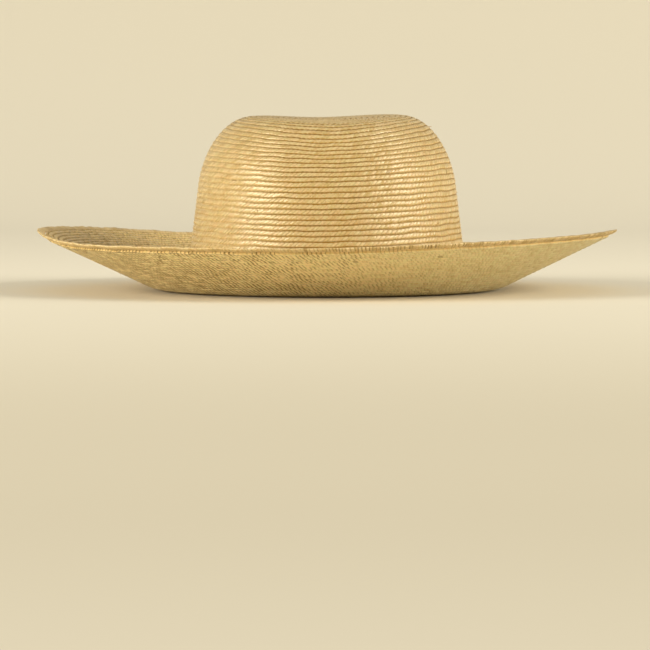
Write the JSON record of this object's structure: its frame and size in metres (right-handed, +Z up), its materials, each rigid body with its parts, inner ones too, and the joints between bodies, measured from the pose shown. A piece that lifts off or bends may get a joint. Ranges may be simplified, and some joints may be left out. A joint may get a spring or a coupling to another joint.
{
  "type": "straw sombrero",
  "caption": "Wide straw sombrero of sewn plaited braid, with a round-shouldered crown softly creased from front to back and a brim that turns up all round like a saucer.",
  "frame": {"origin": "on the resting surface, under the middle of the rim", "axes": "+Z up through the crown, +X to the wearer's left, -Y to the front"},
  "size_m": [0.3938, 0.3977, 0.1188],
  "materials": {
    "crown_straw": "pale golden plaited straw with a soft sheen, in rows that lap downwards",
    "brim_straw": "golden plaited straw, less glossy than the crown, in rows that run round the head opening",
    "edge_straw": "plaited straw, the last turn of the braid, with a toothed outer edge"
  },
  "bodies": {
    "root": {"crown": "crown_straw", "brim": "brim_straw", "edge_braid": "edge_straw"}
  },
  "joints": []
}
